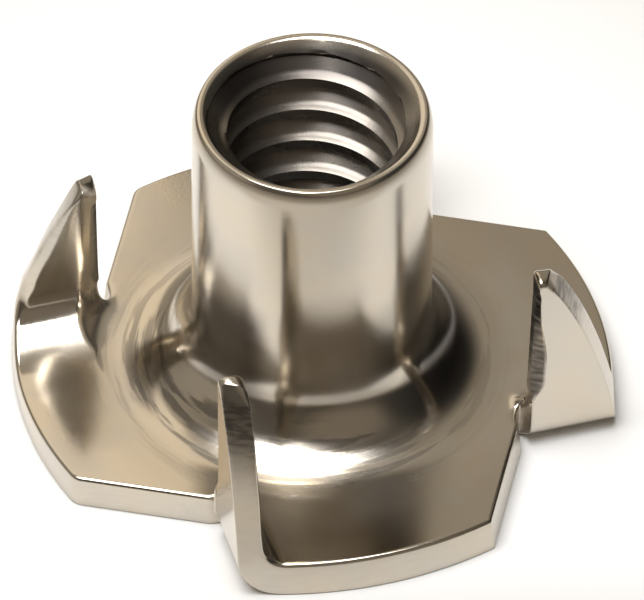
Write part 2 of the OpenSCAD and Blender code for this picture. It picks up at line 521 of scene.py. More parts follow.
# %% Fill a flat outline with triangles
def net_points(ring, bend_from, bend_to, spots, low, high):
    """Points of the net: even, in closer rows along the fold, and finer in the strip and the spots."""
    rows = [ring[:, 1].min()]
    while rows[-1] < ring[:, 1].max():
        bending = bend_from - GRAIN < rows[-1] < bend_to + GRAIN
        rows.append(rows[-1] + (BEND_GRAIN if bending else GRAIN * ROW_STEP))
    points = staggered(np.arange(ring[:, 0].min(), ring[:, 0].max(), GRAIN), rows, GRAIN)
    points = points[((points < low - STRIP_MARGIN) | (points > high + STRIP_MARGIN)).any(1)]
    strip_columns = np.arange(low[0], high[0], BEND_GRAIN)
    strip_rows = np.arange(low[1], high[1], BEND_GRAIN * ROW_STEP)
    points = np.vstack([points, staggered(strip_columns, strip_rows, BEND_GRAIN)])
    for spot in spots:
        points = points[np.linalg.norm(points - spot, axis=1) > SPOT_R]
    points = np.vstack([points] + [fine_patch + spot for spot in spots])
    return points[inside(points, ring)]


def fill(ring, bend_from, bend_to, spots, strip):
    """Triangles inside a ring. The strip is a rectangle, two corners, where the sheet bends both ways."""
    low, high = strip
    points = net_points(ring, bend_from, bend_to, spots, low, high)
    near_spot = np.min([np.linalg.norm(points - spot, axis=1) for spot in spots], axis=0) < SPOT_R
    in_strip = ((points > low) & (points < high)).all(1)
    grain = np.where(near_spot, FINE_GRAIN, np.where(in_strip, BEND_GRAIN, GRAIN))
    clear_of_ring = clearance(points, ring) > np.maximum(grain * LEAST_GAP, EDGE_MARGIN * (1 + LEAST_GAP))
    ways = np.roll(ring, -1, 0) - np.roll(ring, 1, 0)
    ways /= np.linalg.norm(ways, axis=1)[:, None]
    margin = ring + np.column_stack([-ways[:, 1], ways[:, 0]]) * EDGE_MARGIN
    margin = margin[inside(margin, ring)]
    margin = margin[clearance(margin, ring) > EDGE_MARGIN * LEAST_MARGIN_GAP]
    points = np.vstack([ring, margin, points[clear_of_ring]])
    edges = [(i, (i + 1) % len(ring)) for i in range(len(ring))]
    net = geometry.delaunay_2d_cdt([Vector(p) for p in points], edges, [], 1, SAME_PLACE)
    return np.array([v[:] for v in net[0]]), np.array(net[2])


print("triangles of", GRAIN, "mm, of", BEND_GRAIN, "mm in a fold and", FINE_GRAIN, "mm in a notch's root")

# %% [markdown]
# ## The sheared edge
#
# A punch first rolls the upper edge over, then cuts a smooth band, and the rest tears. The wall between
# the two outlines is therefore swept in rows: an arc for the roll, a straight band, and a rougher band
# below, with the lower edge barely broken. The prongs' tips are rolled further, as a narrow end is, and
# their straight edges are ground to a bevel, so there the arcs turn straight.

# %% Wall between the two faces
ROLL_ROWS, WALL_ROWS, BREAK_ROWS = 6, 6, 4


def inset(line, amount, first_way, last_way):
    """Moves an outline towards the metal by an amount at each point."""
    ways = np.gradient(line, axis=0)
    ways[0], ways[-1] = first_way, last_way
    ways /= np.linalg.norm(ways, axis=1)[:, None]
    return line + np.column_stack([-ways[:, 1], ways[:, 0]]) * np.asarray(amount)[:, None]


def sweep_wall(upper_in, upper_out, lower_out, lower_in, roll, broken, flatness):
    """Rows of points from the upper skin's edge, over the roll and down the wall, to the lower skin's.

    Flatness turns the round of both edges into a bevel where it is 1."""
    flatness = flatness[:, None]
    drop = lower_out - upper_out
    thick = np.linalg.norm(drop, axis=1)[:, None]
    roll, broken = roll[:, None] / thick, broken[:, None] / thick
    rows = []
    for share in np.linspace(0, 1, ROLL_ROWS):
        over = math.sin(share * math.pi / 2) * (1 - flatness) + share * flatness
        down = (1 - math.cos(share * math.pi / 2)) * (1 - flatness) + share * flatness
        rows.append(upper_in + (upper_out - upper_in) * over + drop * roll * down)
    for share in np.linspace(0, 1, WALL_ROWS)[1:-1]:
        rows.append(upper_out + drop * (roll + (1 - roll - broken) * share))
    for share in np.linspace(0, 1, BREAK_ROWS + 1):
        under = (1 - math.cos(share * math.pi / 2)) * (1 - flatness) + share * flatness
        up = (1 - math.sin(share * math.pi / 2)) * (1 - flatness) + (1 - share) * flatness
        rows.append(lower_out - drop * broken * up + (lower_in - lower_out) * under)
    return np.array(rows)


def quads(rows, columns):
    """Faces between neighbouring rows of points."""
    row, column = np.meshgrid(np.arange(rows - 1), np.arange(columns - 1), indexing="ij")
    first = (row * columns + column).ravel()
    return np.column_stack([first, first + columns, first + columns + 1, first + 1])


print("a wall has", ROLL_ROWS + WALL_ROWS - 2 + BREAK_ROWS + 1, "rows of points")

# %% [markdown]
# How far the roll reaches changes along the outline, so it is worked out at each of its points: full round
# the lobe, slight along the prong, wide over the tip. The prongs' curved edges are rolled a little, and on
# one prong broadly, because the die was worn there. A pair of numbers gives the millimetres between which
# such a change takes place: of height, of distance past the fold line, or of distance below the tip.

# %% How the edge is finished along the outline
EDGE_BREAK, PRONG_ROLL = 0.035, 0.05
ROLL_SLIMS = (-0.3, 1.2)
TIP_ROLL = {"upper": 0.26, "lower": 0.16}
TIP_DEPTH = {"upper": 0.42, "lower": 0.3}
TIP_REACH, TIP_DEEPENS = 0.8, 0.7
GROUND_DEPTH, ROLLED_DEPTH = 0.24, 0.6
GROUND_RISE, GROUND_FALL, NOTCH_TOP = (1.7, 2.6), (0.25, 0.7), 1
ROLLED_RISE, ROLLED_FALL = (0.8, 2.4), (3.6, 6.0)


def edge_finish(lobe, name, line):
    """How far the skin stops short of the outline, how deep the round goes, and where it is a bevel."""
    face = getattr(lobe, name)
    top, place = lobe.top(face), np.arange(len(line))
    from_fold = line[:, 1] - FOLD_Y
    z = face.height + face.radius + face.start - face.length - from_fold
    if name == "upper":
        plain = ROLL - (ROLL - PRONG_ROLL) * ease(-from_fold, *ROLL_SLIMS)
        rolled = lobe.rolled * (place >= OUTER_FIRST) * window(z, ROLLED_RISE, ROLLED_FALL)
    else:
        plain, rolled = np.full(len(line), EDGE_BREAK), 0.0
    ground = ease(z, *GROUND_RISE) * ease(top - z, *GROUND_FALL) * ((place < INNER_COUNT) & (z > NOTCH_TOP))
    tip = ease(face.flat_in(top) + TIP_REACH - from_fold, 0, TIP_DEEPENS)
    depth = plain + (TIP_DEPTH[name] - plain) * tip
    depth += (GROUND_DEPTH - depth) * ground + ROLLED_DEPTH * rolled
    short = plain + (lobe.ground(z) - plain) * ground + rolled
    below_tip = TIP_ROLL[name] * ease(z, top - TIP_REACH, top)
    return short, below_tip, depth, ground


right_line = outline(lobes[RIGHT].upper, lobes[RIGHT])
print("the roll goes", edge_finish(lobes[RIGHT], "upper", right_line)[2].max().round(2), "mm deep at the tip")

# %% [markdown]
# ## One lobe with its prong
#
# A lobe is made flat, as a blank is, and folded as its last step. Its two skins and the wall between them
# are made at the place of the right-hand lobe and turned to their own. By the next notch, a sliver of this
# lobe belongs to the next prong's fold, and follows it up. Each point also keeps how torn the metal is
# there, from 0 to 1, because the straight edges and the tips tear as they are sheared.

# %% Gather the surface
class Skin:
    """Gathers points and faces of the part's surface, in millimetres."""

    def __init__(self):
        self.points, self.torn, self.faces, self.count = [], [], [], 0

    def add(self, points, faces, torn=0.0):
        """Adds points, with faces that count from the first of them."""
        self.points.append(points)
        self.torn.append(np.broadcast_to(torn, len(points)))
        self.faces += [[int(i) + self.count for i in face] for face in faces]
        self.count += len(points)


nut = Skin()
SEAM_POINTS = 12
NEXT_ALONG, NEXT_IN = 0.3, 4.5
ring_start = math.atan2(notch_bottom[1], notch_bottom[0])


def turn_to(points, place):
    """Turns points to a lobe's own place."""
    return np.column_stack([spin(points[:, :2], place), points[:, 2]])


def shape_all(lobe, next_lobe, name, points):
    """Folds this lobe, and the sliver by the next notch that the next prong's fold pulls up with it."""
    own = lobe.shape(getattr(lobe, name), points)
    next_points = spin(points, -1)
    theirs = next_lobe.shape(getattr(next_lobe, name), next_points)
    along, inward = np.abs(next_points - root).T
    by_next = (along < NEXT_ALONG) & (inward < NEXT_IN)
    return np.where(by_next[:, None], turn_to(theirs, 1), own)


def skin_ring(edge):
    """Closed ring round one skin: the barrel's quarter, a seam, the lobe's edge, and the next seam."""
    angles = ring_start + math.tau * np.arange(RING // LOBES, -1, -1) / RING
    hub = HUB_R * np.column_stack([np.cos(angles), np.sin(angles)])
    seam = np.linspace(hub[-1], edge[0], SEAM_POINTS)[1:-1]
    return np.vstack([hub, seam, edge, spin(seam, 1)[::-1]])


print("the barrel takes", RING // LOBES, "steps of each lobe")

# %% Add the four lobes
STRIP_START, PLAIN_STRIP, CURLED_STRIP = (0.05, -0.4), (0.8, 1.5), (1.5, CURL_START)
STRAIGHT_TORN, TIP_TORN, LEAST_TORN = (1.7, 2.4), ((4.2, 5.4), (6.1, 6.6)), 0.12
BELOW_ROLL, OFF_EDGE = (0.1, 0.3), (0, 0.05)
x_way = np.array([1.0, 0.0])


def lobe_skin(skin, lobe, next_lobe):
    """Adds one lobe with its prong, turned to its place."""
    shaped, depths = {}, {}
    for name in ("upper", "lower"):
        face = getattr(lobe, name)
        line = np.vstack([outline(face, lobe), spin(notch_bottom, 1)])
        short, below_tip, depths[name], ground = edge_finish(lobe, name, line)
        edge = inset(line, short, x_way, spin(x_way, 1))
        edge[:, 1] += below_tip
        edge[-1] = spin(edge[0], 1)
        end = FOLD_Y + face.start
        strip = root + [STRIP_START, CURLED_STRIP if lobe.curl else PLAIN_STRIP]
        spots = [notch_bottom, spin(notch_bottom, 1)]
        points, faces = fill(skin_ring(edge), end - face.length, end, spots, strip)
        points = shape_all(lobe, next_lobe, name, points)
        skin.add(turn_to(points, lobe.place), faces if name == "upper" else faces[:, ::-1])
        shaped[name] = [shape_all(lobe, next_lobe, name, flat_line) for flat_line in (edge, line)]
    walls = sweep_wall(*shaped["upper"], *shaped["lower"][::-1], depths["upper"], depths["lower"], ground)
    share, height = np.linspace(0, 1, len(walls))[:, None], walls[:, :, 2]
    on_straight = (np.arange(walls.shape[1]) < INNER_COUNT) * ease(height, *STRAIGHT_TORN)
    by_tip = lobe.tip_torn * window(height, *TIP_TORN)
    torn = np.maximum(np.maximum(on_straight * ease(share, *BELOW_ROLL), by_tip), LEAST_TORN)
    torn *= ease(share, *OFF_EDGE) * ease(1 - share, *OFF_EDGE)
    skin.add(turn_to(walls.reshape(-1, 3), lobe.place), quads(*walls.shape[:2]), torn.ravel())


for lobe in lobes:
    lobe_skin(nut, lobe, lobes[(lobe.place + 1) % LOBES])
print("lobes and prongs", nut.count, "points")

# %% [markdown]
# ## The drawn barrel
#
# The draw is a revolve: one half section goes round the axis. It leaves the flange on a generous radius,
# climbs the barrel, and goes over the rim on a long arc that ends in a small round, where the die pressed
# the land flat. A short round leads from the land into the countersunk mouth. Underneath, the sheet turns
# up into the bore on the same draw, wider by the metal's thickness.

# %% Sizes of the draw
RIM_IN, RIM_R, RIM_EDGE, MOUTH_EDGE = 0.15, 1.5, 0.05, 0.2
MOUTH_R, MOUTH_DEPTH = 3.2, 0.68
THREAD_END_R = 3.3
under_r = DRAW_R + DRAW_METAL
rim_drop = math.sqrt(RIM_R**2 - (RIM_R - RIM_IN) ** 2)
rim_angle = math.degrees(math.asin((rim_drop - RIM_EDGE) / RIM_R))
draw_centre = np.array([bore_r + under_r, under_r])
thread_end = draw_centre[1] - math.sqrt(under_r**2 - (draw_centre[0] - THREAD_END_R) ** 2)
end_angle = math.degrees(math.atan2(thread_end - draw_centre[1], THREAD_END_R - draw_centre[0]))
print("the thread ends", round(thread_end, 2), "mm above the underside")

# %% Revolve the barrel's outside, the rim and the underside
def bow(centre, radius, start, end, count):
    """Points of an arc from one angle to another, in degrees."""
    angles = np.radians(np.linspace(start, end, count))
    return np.column_stack([centre[0] + radius * np.cos(angles), centre[1] + radius * np.sin(angles)])


def revolve(profile):
    """Takes a half section round the axis."""
    angles = ring_start + math.tau * np.arange(RING + 1) / RING
    round_axis = np.column_stack([np.cos(angles), np.sin(angles)])
    rows = [np.column_stack([r * round_axis, np.full(RING + 1, z)]) for r, z in profile]
    return np.vstack(rows), quads(len(profile), RING + 1)[:, ::-1]


barrel_heights = np.linspace(SHEET + DRAW_R, total_h - rim_drop, 16)[1:-1]
outside = np.vstack([
    [HUB_R, SHEET],
    bow((barrel_r + DRAW_R, SHEET + DRAW_R), DRAW_R, 270, 180, count=28),
    np.column_stack([np.full(len(barrel_heights), barrel_r), barrel_heights]),
    bow((barrel_r - RIM_R, total_h - rim_drop), RIM_R, 0, rim_angle, count=8),
    bow((barrel_r - RIM_IN - RIM_EDGE, total_h - RIM_EDGE), RIM_EDGE, 30, 90, count=4),
    bow((MOUTH_R + MOUTH_EDGE * math.sqrt(0.5), total_h - MOUTH_EDGE), MOUTH_EDGE, 90, 135, count=6),
])
mouth_top = outside[-1, 1]
underside = np.vstack([bow(draw_centre, under_r, end_angle, -90, count=22), [HUB_R, 0]])
for profile in (outside, underside):
    nut.add(*revolve(profile))
print("with the barrel", nut.count, "points")

# %% [markdown]
# ## The tapped bore
#
# A tap cuts the same profile all the way down, one pitch further at each turn. Geometry Nodes build it as
# a grid: one way goes round the bore, the other down it, and the grid's rows follow the helix, so that
# crest and root stay crisp. Where the countersink or the underside's draw is wider than the thread, the
# wider one wins. The rows past either end collapse onto the rim and are merged.
#
# A node tree is mostly arithmetic, which is hard to read as a list of nodes. One function adds any node.
# A small class then lets a number of the tree be added and multiplied as any number is.

# %% Helpers for node trees
def add(tree, kind, inputs=None, **settings):
    """Adds a node with its settings. An input is a value, another node's output, or a tree's number."""
    node = tree.nodes.new(kind)
    for name, value in settings.items():
        setattr(node, name, value)
    for name, value in (inputs or {}).items():
        value = getattr(value, "socket", value)
        if isinstance(value, bpy.types.NodeSocket):
            tree.links.new(value, node.inputs[name])
        else:
            node.inputs[name].default_value = value
    return node


class Field:
    """A number that a node tree works out. Arithmetic on it becomes steps of the tree."""

    def __init__(self, socket):
        self.socket = socket

    def step(self, operation, *others, **settings):
        """One step of arithmetic, with this number first."""
        inputs = dict(enumerate((self, *others)))
        node = add(self.socket.id_data, "ShaderNodeMath", inputs, operation=operation, **settings)
        return Field(node.outputs[0])

    def __add__(self, other):
        return self.step("ADD", other)

    def __sub__(self, other):
        return self.step("SUBTRACT", other)

    def __rsub__(self, other):
        return self * -1.0 + other

    def __mul__(self, other):
        return self.step("MULTIPLY", other)

    def __truediv__(self, other):
        return self.step("DIVIDE", other)

    def at_least(self, other):
        """The larger of two numbers."""
        return self.step("MAXIMUM", other)

    def at_most(self, other):
        """The smaller of two numbers."""
        return self.step("MINIMUM", other)

    def ramp(self, start, end, low=0.0, high=1.0):
        """Goes smoothly from low to high as this number goes from start to end."""
        inputs = {"Value": self, "From Min": start, "From Max": end, "To Min": low, "To Max": high}
        node = add(self.socket.id_data, "ShaderNodeMapRange", inputs, interpolation_type="SMOOTHSTEP")
        return Field(node.outputs[0])


thread_tree = bpy.data.node_groups.new("tapped bore", "GeometryNodeTree")
INPUT_KINDS = {"Ring": "NodeSocketInt", "Rows": "NodeSocketInt", "Finish": "NodeSocketMaterial"}
INPUT_NAMES = (
    "Pitch", "Depth", "Bore Radius", "Top", "Bottom", "Mouth Radius", "Mouth Depth", "Draw Radius",
    "Start Angle", "Ring", "Rows", "Roughness", "Seed", "Finish",
)
for name in INPUT_NAMES:
    kind = INPUT_KINDS.get(name, "NodeSocketFloat")
    thread_tree.interface.new_socket(name, in_out="INPUT", socket_type=kind)
thread_tree.interface.new_socket("Geometry", in_out="OUTPUT", socket_type="NodeSocketGeometry")
size = {socket.name: Field(socket) for socket in add(thread_tree, "NodeGroupInput").outputs}
print("the thread's tree has", len(INPUT_NAMES), "inputs")

# %% [markdown]
# A row of the grid is one of 24 steps down a turn. Its distance from the crest's middle tells the radius:
# the crest is a few rows wide, and the flank falls in two slopes, steep at first and then gentler, as a
# worn tap leaves it.

# %% The thread's profile
PITCH, THREAD_DEPTH = 1.27, 0.55
ROWS_PER_TURN = 24
CREST_ROWS, FLANK_ROWS, CREST_ROW = 3, 8, 5
STEEP, GENTLE = 1.6, 0.8

grid = add(thread_tree, "GeometryNodeMeshGrid", {
    "Size X": 1.0, "Size Y": 1.0, "Vertices X": size["Ring"] + 1.0, "Vertices Y": size["Rows"],
})
grid_position = add(thread_tree, "GeometryNodeInputPosition").outputs[0]
grid_x, grid_y, _ = map(Field, add(thread_tree, "ShaderNodeSeparateXYZ", {0: grid_position}).outputs)
turn_share = grid_x + 0.5
row = ((0.5 - grid_y) * (size["Rows"] - 1.0)).step("ROUND")
angle = turn_share * math.tau + size["Start Angle"]
rise = turn_share * size["Pitch"] - row * (size["Pitch"] / float(ROWS_PER_TURN))
height = (size["Top"] + rise).at_most(size["Top"]).at_least(size["Bottom"])

half_turn = ROWS_PER_TURN / 2
from_crest = (row - float(CREST_ROW)).step("WRAP", half_turn, -half_turn).step("ABSOLUTE")
flank = (from_crest - float(CREST_ROWS)).step("DIVIDE", float(FLANK_ROWS), use_clamp=True)
flank = (flank * STEEP).at_most(flank.step("MULTIPLY_ADD", GENTLE, 1 - GENTLE))
thread_r = flank.step("MULTIPLY_ADD", size["Depth"], size["Bore Radius"])
print("one row is", round(PITCH / ROWS_PER_TURN, 3), "mm of the pitch")

# %% [markdown]
# The countersink is a cone and the underside's draw an arc, so each has a radius at every height, and the
# largest of the three is the bore's. A little noise roughens the thread itself, because a tap tears soft
# steel, and leaves the two ends alone, where the bore has to meet the rest.

# %% The bore's surface
TEAR_SCALE, TEAR_DETAIL = 2.2, 3.0
MOUTH_MARGIN, END_MARGIN, MERGE_GAP = 0.05, 0.02, 0.001

below_top = size["Top"] - height
cone_slope = (size["Mouth Radius"] - size["Bore Radius"]) / size["Mouth Depth"]
cone_r = size["Mouth Radius"] - below_top * cone_slope
draw_rise = (size["Draw Radius"] - height).at_least(0.0)
draw_reach = (size["Draw Radius"].step("POWER", 2.0) - draw_rise.step("POWER", 2.0)).step("SQRT")
draw_r = size["Bore Radius"] + size["Draw Radius"] - draw_reach
radius = thread_r.at_least(cone_r).at_least(draw_r)

cosine, sine = angle.step("COSINE"), angle.step("SINE")
outwards = add(thread_tree, "ShaderNodeCombineXYZ", {0: cosine, 1: sine}).outputs[0]
on_bore = {0: cosine * radius, 1: sine * radius, 2: height}
position = add(thread_tree, "ShaderNodeCombineXYZ", on_bore).outputs[0]
tear = add(thread_tree, "ShaderNodeTexNoise", {
    "Vector": position, "W": size["Seed"], "Scale": TEAR_SCALE, "Detail": TEAR_DETAIL,
}, noise_dimensions="4D").outputs[0]
below_mouth = below_top.step("GREATER_THAN", size["Mouth Depth"] + MOUTH_MARGIN)
above_end = height.step("GREATER_THAN", size["Bottom"] + END_MARGIN)
tear = (Field(tear) - 0.5) * size["Roughness"] * (below_mouth * above_end)
push = add(thread_tree, "ShaderNodeVectorMath", {0: outwards, "Scale": tear}, operation="SCALE").outputs[0]
moved = add(thread_tree, "GeometryNodeSetPosition", {
    "Geometry": grid.outputs["Mesh"], "Position": position, "Offset": push,
})
merged = add(thread_tree, "GeometryNodeMergeByDistance", {
    "Geometry": moved.outputs[0], "Distance": MERGE_GAP,
})
real = add(thread_tree, "GeometryNodeRealizeInstances", {"Geometry": merged.outputs[0]})
finished = add(thread_tree, "GeometryNodeSetMaterial", {
    "Geometry": real.outputs[0], "Material": size["Finish"],
})
add(thread_tree, "NodeGroupOutput", {"Geometry": finished.outputs[0]})
print("thread tree", len(thread_tree.nodes), "nodes")

# %% [markdown]
# ## Bright zinc on steel
#
# The finish is bright zinc, plated from a bath and passivated. That gives the eye a metal that mirrors the
# room softly and a little warm. It is a few micrometres thick, so the fine marks of the press and the draw
# show through it. Colours are written as sRGB hex values, and one function turns them to the linear values
# that light is reckoned with.

# %% Start the plated steel
def linear(colour):
    """Turns an sRGB hex colour to the linear values that shaders use."""
    parts = [int(colour[i : i + 2], 16) / 255 for i in (1, 3, 5)]
    return [p / 12.92 if p <= 0.04045 else ((p + 0.055) / 1.055) ** 2.4 for p in parts] + [1.0]


def bare_material(name):
    """A new material with an empty tree."""
    material = bpy.data.materials.new(name)
    material.use_nodes = True
    material.node_tree.nodes.clear()
    return material, material.node_tree


plated, steel_tree = bare_material("bright zinc plated steel")
WARM_ZINC, PALE_ZINC = linear("#cfc5b4"), linear("#cbc4b9")
# The soil tone also serves as the tone of the painted shade and painted dark reflections.
SOIL_AND_SHADE, HIGH_TEAR_DARK = linear("#625d59"), linear("#33312f")
print("pale zinc is", [round(part, 3) for part in PALE_ZINC[:3]])

# %% [markdown]
# ## Where on the part
#
# A finish belongs to a place, so the material first works out where it is: how far from the axis, how
# high, and how far to one side, which is 1 straight towards that side and 0 square to it. The walls' points
# also carry how torn they are. A mask is 1 in its place and falls smoothly to 0 round it, as such marks
# fade out. The two numbers of its ramp say where it starts and ends, in millimetres from the axis or above
# the underside. So the barrel's mask is 1 on its wall and 0 from 0.15 mm outside it.

# %% The surface's own measures
in_metres = add(steel_tree, "ShaderNodeTexCoord").outputs["Object"]
in_mm = add(steel_tree, "ShaderNodeVectorMath", {0: in_metres, "Scale": 1 / MM}, operation="SCALE").outputs[0]
x, y, z = map(Field, add(steel_tree, "ShaderNodeSeparateXYZ", {0: in_mm}).outputs)
from_axis = (x * x + y * y).step("SQRT")
east, north = x / from_axis, y / from_axis
normal = add(steel_tree, "ShaderNodeNewGeometry").outputs["Normal"]
level = Field(add(steel_tree, "ShaderNodeSeparateXYZ", {0: normal}).outputs["Z"]).step("ABSOLUTE")
torn = Field(add(steel_tree, "ShaderNodeAttribute", attribute_name="torn").outputs["Fac"])
to_right = east * 0.98 + north * -0.17
to_left = east * -0.93 - north * 0.37
to_front = east * 0.07 - north
to_rear = east * 0.28 + north * 0.96
to_front_left = east * -0.8 - north * 0.6
print("measures take", len(steel_tree.nodes), "nodes")

# %% Masks for the parts of the press's work
on_barrel = from_axis.ramp(barrel_r + 0.15, barrel_r)
in_bore = from_axis.ramp(3.42, 3.3) * z.ramp(total_h - 0.02, total_h - 0.3)
on_draw = from_axis.ramp(3.7, 4.3) * from_axis.ramp(7.2, 5.4) * to_front_left.ramp(-0.3, 0.9, 0.3, 1.0)
on_wall = level.ramp(0.6, 0.25) * from_axis.ramp(5.6, 6.2)
on_foot = from_axis.ramp(4.6, 6.0) * from_axis.ramp(8.2, 6.6)
by_foot = from_axis.ramp(3.95, 3.7) * z.ramp(6.4, 5.1)
print("masks and measures take", len(steel_tree.nodes), "nodes")

# %% [markdown]
# ## Marks of the tools
#
# The marks differ by place. The draw leaves rings round the barrel's foot, its wall has faint lines along
# the pull, and the sheared walls are scored from face to face and torn across. A fine even grain lies over
# everything, and a broad cloud shifts the tone. Each is a noise stretched along its own way, by how often
# it changes in a millimetre, or in one radian where it goes round the axis. Rings are a quarter of a
# millimetre apart, so theirs is 4. Real scores are finer than a tenth of a millimetre. They are drawn as
# coarse as that, or they wouldn't show. The heights that the marks add are in millimetres too.

# %% Noises and relief
round_axis = add(steel_tree, "ShaderNodeCombineXYZ", {0: east, 1: north, 2: from_axis}).outputs[0]
up_barrel = add(steel_tree, "ShaderNodeCombineXYZ", {0: east, 1: north, 2: z}).outputs[0]
MARKS = {  # where, how often along each way, and detail
    "rings": (round_axis, (1.8, 1.8, 4.0), 4.0),
    "pull": (up_barrel, (14.0, 14.0, 0.3), 3.0),
    "shear": (in_mm, (7.0, 7.0, 0.8), 5.0),
    "tear": (in_mm, (1.6, 1.6, 7.0), 5.0),
    "fine": (in_mm, (9.0, 9.0, 9.0), 2.0),
    "broad": (in_mm, (0.5, 0.5, 0.5), 4.0),
}
marks = {}
for name, (place, stretch, detail) in MARKS.items():
    vector = add(steel_tree, "ShaderNodeVectorMath", {0: place, 1: stretch}, operation="MULTIPLY").outputs[0]
    pattern = add(steel_tree, "ShaderNodeTexNoise", {"Vector": vector, "Scale": 1.0, "Detail": detail})
    marks[name] = Field(pattern.outputs[0])

FINE_HEIGHT = 0.0007
MARK_HEIGHTS = {
    "rings": (on_draw, 0.005), "pull": (on_barrel, 0.0012), "shear": (on_wall, 0.002), "tear": (torn, 0.01),
}
relief = marks["fine"] * FINE_HEIGHT
for name, (mask, mark_height) in MARK_HEIGHTS.items():
    relief = relief + marks[name] * mask * mark_height
bump = add(steel_tree, "ShaderNodeBump", {"Height": relief, "Strength": 1.0, "Distance": MM}).outputs[0]
print("marks:", ", ".join(marks))

# %% [markdown]
# ## Roughness, soil and painted shade
#
# Handling and the plating bath leave the metal uneven. It is smoothest near the flange's edge, and rougher
# where it was drawn, cut or torn. Oil and dust stay in tears and in the rings of the draw. Painted shade
# darkens the bore, and a painted dark reflection darkens the rear of its mouth. A painted dark reflection
# lies on the draw at the right of the barrel's foot, and painted shade lies at the foot's left and front.
# High on the prongs the torn walls are nearly black. Where marks overlap, the darkest one counts.

# %% Finish of the plated steel
SMOOTH, CLOUDED, RINGED = 0.1, 0.16, 0.1
roughness = marks["broad"].ramp(0.3, 0.7, SMOOTH, CLOUDED)
roughness = roughness + marks["rings"].ramp(0.35, 0.75) * (on_draw * RINGED)
for mask, rougher in ((on_wall, 0.05), (torn, 0.2), (in_bore, 0.08), (on_barrel, 0.06), (on_foot, 0.08)):
    roughness = roughness + mask * rougher

in_tears = torn * marks["tear"].ramp(0.35, 0.65, 0.6, 0.95)
# Painted shade darkens the bore, and a painted dark reflection darkens the rear of its mouth.
painted_bore_shade = in_bore * z.ramp(total_h - 1.2, total_h - 0.95, 0.8, to_rear.ramp(-0.1, 0.6))
in_rings = on_draw * marks["rings"].ramp(0.48, 0.6) * from_axis.ramp(6.2, 5.3, 0.2, 0.7)
# A painted dark reflection on the draw at the right of the barrel's foot.
painted_dark_reflection = from_axis.ramp(3.62, 3.8) * from_axis.ramp(5.2, 4.3) * to_right.ramp(0.45, 0.9)
# Painted shade at the left and front of the barrel's foot.
painted_foot_shade = to_left.ramp(0.83, 0.95, 0.0, 0.82).at_least(to_front.ramp(0.86, 0.95, 0.0, 0.3)) * by_foot
# Soil and painted shade share one tone, and the darkest of them counts.
soil_and_painted_shade = in_tears.at_least(painted_bore_shade).at_least(in_rings).at_least(painted_dark_reflection.at_least(painted_foot_shade))
# Darker high on the torn walls of the prongs, nearly black.
blackened = torn * z.ramp(3.6, 5.4) * marks["tear"].ramp(0.4, 0.6, 0.35, 1.0)

tone = WARM_ZINC
for amount, colour in ((marks["broad"].ramp(0.3, 0.7), PALE_ZINC), (soil_and_painted_shade, SOIL_AND_SHADE), (blackened, HIGH_TEAR_DARK)):
    inputs = {"Factor": amount, "A": tone, "B": colour}
    tone = add(steel_tree, "ShaderNodeMix", inputs, data_type="RGBA").outputs[2]
steel = add(steel_tree, "ShaderNodeBsdfPrincipled", {
    "Base Color": tone, "Metallic": 1.0, "Roughness": roughness, "Normal": bump,
})
add(steel_tree, "ShaderNodeOutputMaterial", {"Surface": steel.outputs[0]})
print("steel", len(steel_tree.nodes), "nodes")

# %% [markdown]
# ## Thread the bore
#
# The tree runs on an empty mesh, with its inputs set by their identifiers before it is first worked out.
# Its result is taken as a plain mesh and joins the skin's other points. The rows are as many as the bore's
# height and one more turn need.

# %% Run the thread's tree
TEAR_HEIGHT, TEAR_SEED, SPARE_ROWS = 0.012, 4.0, 2


def run_tree(tree, name, values):
    """Applies a tree with its inputs set, and returns the result as a plain mesh."""
    holder = bpy.data.objects.new(name, bpy.data.meshes.new(name))
    bpy.context.scene.collection.objects.link(holder)
    modifier = holder.modifiers.new(name, "NODES")
    modifier.node_group = tree
    identifiers = {item.name: item.identifier for item in tree.interface.items_tree}
    for socket, value in values.items():
        modifier[identifiers[socket]] = value
    graph = bpy.context.evaluated_depsgraph_get()
    mesh = bpy.data.meshes.new_from_object(holder.evaluated_get(graph))
    bpy.data.objects.remove(holder)
    return mesh


thread_rows = math.ceil((mouth_top - thread_end + PITCH) / PITCH * ROWS_PER_TURN) + SPARE_ROWS
thread_mesh = run_tree(thread_tree, "tapped bore", {
    "Pitch": PITCH, "Depth": THREAD_DEPTH, "Bore Radius": bore_r, "Top": mouth_top,
    "Bottom": thread_end, "Mouth Radius": MOUTH_R, "Mouth Depth": MOUTH_DEPTH, "Draw Radius": under_r,
    "Start Angle": ring_start, "Ring": RING, "Rows": thread_rows, "Roughness": TEAR_HEIGHT,
    "Seed": TEAR_SEED, "Finish": plated,
})
nut.add(np.array([v.co[:] for v in thread_mesh.vertices]), [p.vertices for p in thread_mesh.polygons])
print("the thread takes", len(thread_mesh.polygons), "faces")

# %% [markdown]
# ## Weld the skin
#
# The skins, walls, barrel and bore share the points along their borders, so merging doubles makes them one
# closed shell. In the notches' roots the folds leave a crease that real metal can't hold. Rounds of
# smoothing that start wide and end narrow blend it away, and the lobe that curls up gets more of them.

# %% Weld and blend
WELD_GAP, SLIVER, BLEND_TOP = 0.002, 0.0005, 2.0
ROOT_BLEND = (*NOTCH, 0.75, 0.35, 20)
BLENDS = [(place, *ROOT_BLEND) for place in range(LOBES)]  # along, in, widest and narrowest reach, rounds
BLENDS += [(LEFT, 0.8, 0.75, 0.95, 0.5, 40), (LEFT, 0.6, 1.9, 0.9, 0.4, 30)]

